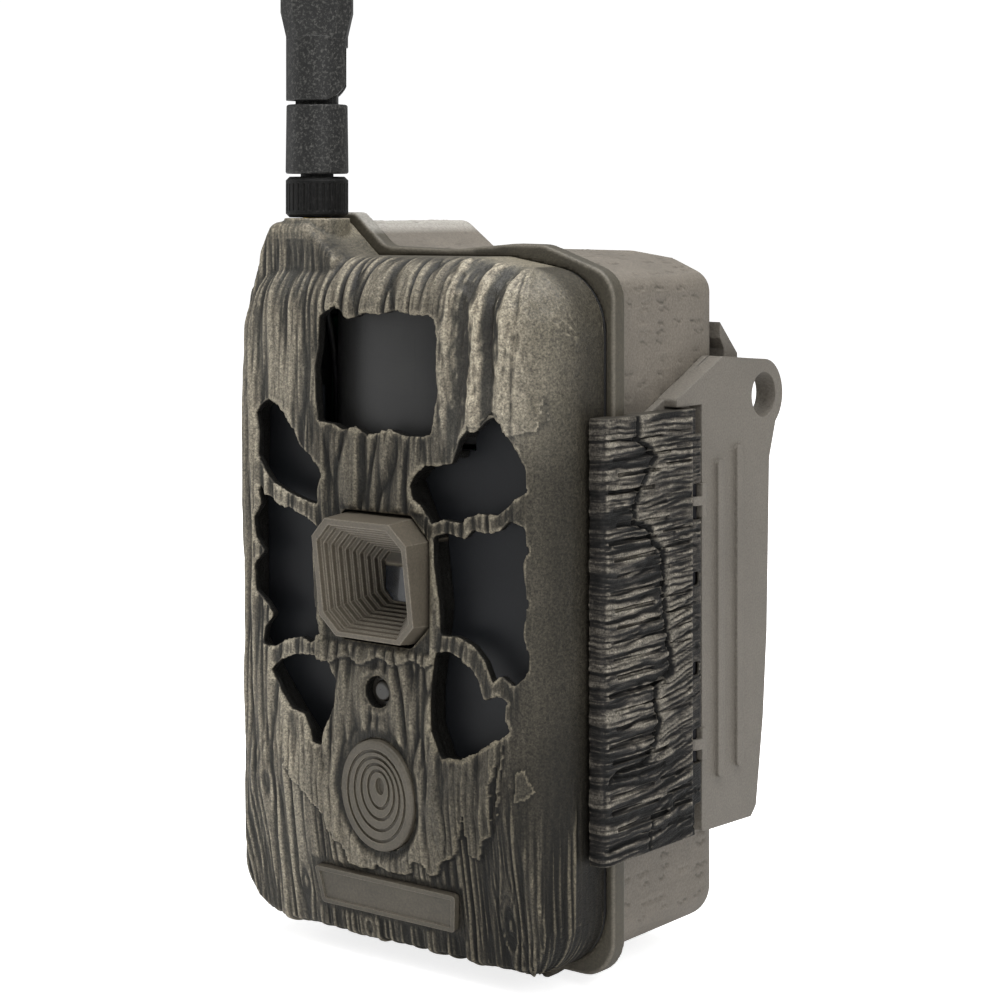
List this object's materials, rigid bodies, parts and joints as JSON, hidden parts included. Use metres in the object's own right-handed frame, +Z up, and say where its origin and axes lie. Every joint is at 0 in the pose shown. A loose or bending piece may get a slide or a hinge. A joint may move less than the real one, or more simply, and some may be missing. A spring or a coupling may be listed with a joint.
{
  "type": "trail camera",
  "caption": "Bark-textured wildlife trail camera with hinged front door, side latch, tree bracket with cable eyes and a folding whip antenna.",
  "frame": {"origin": "centre of the tripod socket's mouth under the rear shell", "axes": "+Z up along the antenna, -Y out of the front face, +X to the right seen from the front"},
  "size_m": [0.0979, 0.0859, 0.3419],
  "materials": {
    "bark_shell": "weathered bark relief, fine stipple",
    "tan_shell": "fine stipple",
    "taupe": "fine stipple",
    "hood_tan": "fine stipple",
    "bark_latch": "streaked bark relief",
    "dark_window": "satin infrared-pass window",
    "fresnel": "dark moulded lens",
    "clear_glass": "clear",
    "light_pipe": "smoked",
    "antenna_black": "stippled black",
    "black_plastic": "moulded",
    "grey_plastic": "moulded",
    "key_grey": "soft touch",
    "seal_rubber": "soft seal",
    "board_green": "solder mask",
    "steel": "plated",
    "brass": "turned",
    "gold": "gold plated contacts",
    "chip_black": "package",
    "cell_sleeve": "printed-free sleeve",
    "led_lens": "dark epoxy lens",
    "card_blue": "moulded",
    "display": "liquid crystal stack"
  },
  "bodies": {
    "rear_body": {"rear_housing": "tan_shell", "door_gasket": "seal_rubber", "tripod_insert": "brass", "dc_jack": "black_plastic", "battery_tray": "black_plastic", "aa_cells": "cell_sleeve", "cell_springs": "steel", "cell_plates": "steel", "plunger_block": "black_plastic", "plungers": "gold", "tree_bracket": "taupe", "bracket_screws": "steel", "door_hinge_pin": "steel", "latch_hinge_pin": "steel"},
    "port_plug": {"dc_port_plug": "seal_rubber"},
    "side_latch": {"side_latch": "bark_latch"},
    "front_door": {"front_housing": "bark_shell", "lens_hood": "hood_tan", "lens_window": "clear_glass", "pir_lens": "fresnel", "ir_filters": "dark_window", "status_light_pipe": "light_pipe", "knot_badge": "hood_tan", "name_plate": "hood_tan", "ir_led_board": "board_green", "ir_leds": "led_lens", "pir_sensor": "steel", "lens_barrel": "black_plastic", "lens_element": "clear_glass", "lens_holder": "black_plastic", "image_sensor": "chip_black", "sensor_board": "board_green", "main_board": "board_green", "modem_module": "steel", "antenna_coax": "black_plastic", "sma_jack": "brass", "inner_panel": "grey_plastic", "panel_screws": "steel", "lcd_module": "display", "lcd_window": "clear_glass", "speaker": "black_plastic", "tact_switches": "black_plastic", "switch_body": "steel", "sd_socket": "steel", "door_pads": "gold"},
    "ir_cut_shuttle": {"ir_cut_shuttle": "black_plastic"},
    "power_switch": {"power_switch": "black_plastic"},
    "sd_card": {"sd_card": "card_blue"},
    "key_up": {"key_up": "key_grey"},
    "key_down": {"key_down": "key_grey"},
    "key_left": {"key_left": "key_grey"},
    "key_right": {"key_right": "key_grey"},
    "key_ok": {"key_ok": "key_grey"},
    "key_menu": {"key_menu": "key_grey"},
    "antenna_nut": {"antenna_nut": "antenna_black"},
    "antenna_elbow": {"antenna_elbow": "antenna_black"},
    "antenna_blade": {"antenna_blade": "antenna_black", "antenna_tilt_pin": "steel"}
  },
  "joints": [
    {"name": "door_hinge", "type": "hinge", "parent": "rear_body", "child": "front_door", "pos_m": [-0.0475, -0.019, 0.067], "axis": [0, 0, -1], "range_deg": [0, 110]},
    {"name": "latch_hinge", "type": "hinge", "parent": "rear_body", "child": "side_latch", "pos_m": [0.046, 0.0075, 0.069], "axis": [0, 0, 1], "range_deg": [0, 90]},
    {"name": "antenna_nut_spin", "type": "hinge", "parent": "front_door", "child": "antenna_nut", "pos_m": [-0.027, -0.0263, 0.155], "axis": [0, 0, 1], "continuous": true},
    {"name": "antenna_swivel", "type": "hinge", "parent": "front_door", "child": "antenna_elbow", "pos_m": [-0.027, -0.0263, 0.165], "axis": [0, 0, 1], "continuous": true},
    {"name": "antenna_tilt", "type": "hinge", "parent": "antenna_elbow", "child": "antenna_blade", "pos_m": [-0.027, -0.0263, 0.1825], "axis": [-0.6157, 0.788, 0], "range_deg": [0, 90]},
    {"name": "ir_cut_slide", "type": "slide", "parent": "front_door", "child": "ir_cut_shuttle", "axis": [1, 0, 0], "range_m": [0, 0.0058]},
    {"name": "power_switch_slide", "type": "slide", "parent": "front_door", "child": "power_switch", "axis": [1, 0, 0], "range_m": [-0.0025, 0.0025]},
    {"name": "sd_card_eject", "type": "slide", "parent": "front_door", "child": "sd_card", "axis": [1, 0, 0], "range_m": [0, 0.003]},
    {"name": "port_plug_pull", "type": "slide", "parent": "rear_body", "child": "port_plug", "axis": [0, 0, -1], "range_m": [0, 0.014]},
    {"name": "key_up_press", "type": "slide", "parent": "front_door", "child": "key_up", "axis": [0, -1, 0], "range_m": [0, 0.0004]},
    {"name": "key_down_press", "type": "slide", "parent": "front_door", "child": "key_down", "axis": [0, -1, 0], "range_m": [0, 0.0004]},
    {"name": "key_left_press", "type": "slide", "parent": "front_door", "child": "key_left", "axis": [0, -1, 0], "range_m": [0, 0.0004]},
    {"name": "key_right_press", "type": "slide", "parent": "front_door", "child": "key_right", "axis": [0, -1, 0], "range_m": [0, 0.0004]},
    {"name": "key_ok_press", "type": "slide", "parent": "front_door", "child": "key_ok", "axis": [0, -1, 0], "range_m": [0, 0.0004]},
    {"name": "key_menu_press", "type": "slide", "parent": "front_door", "child": "key_menu", "axis": [0, -1, 0], "range_m": [0, 0.0004]}
  ]
}
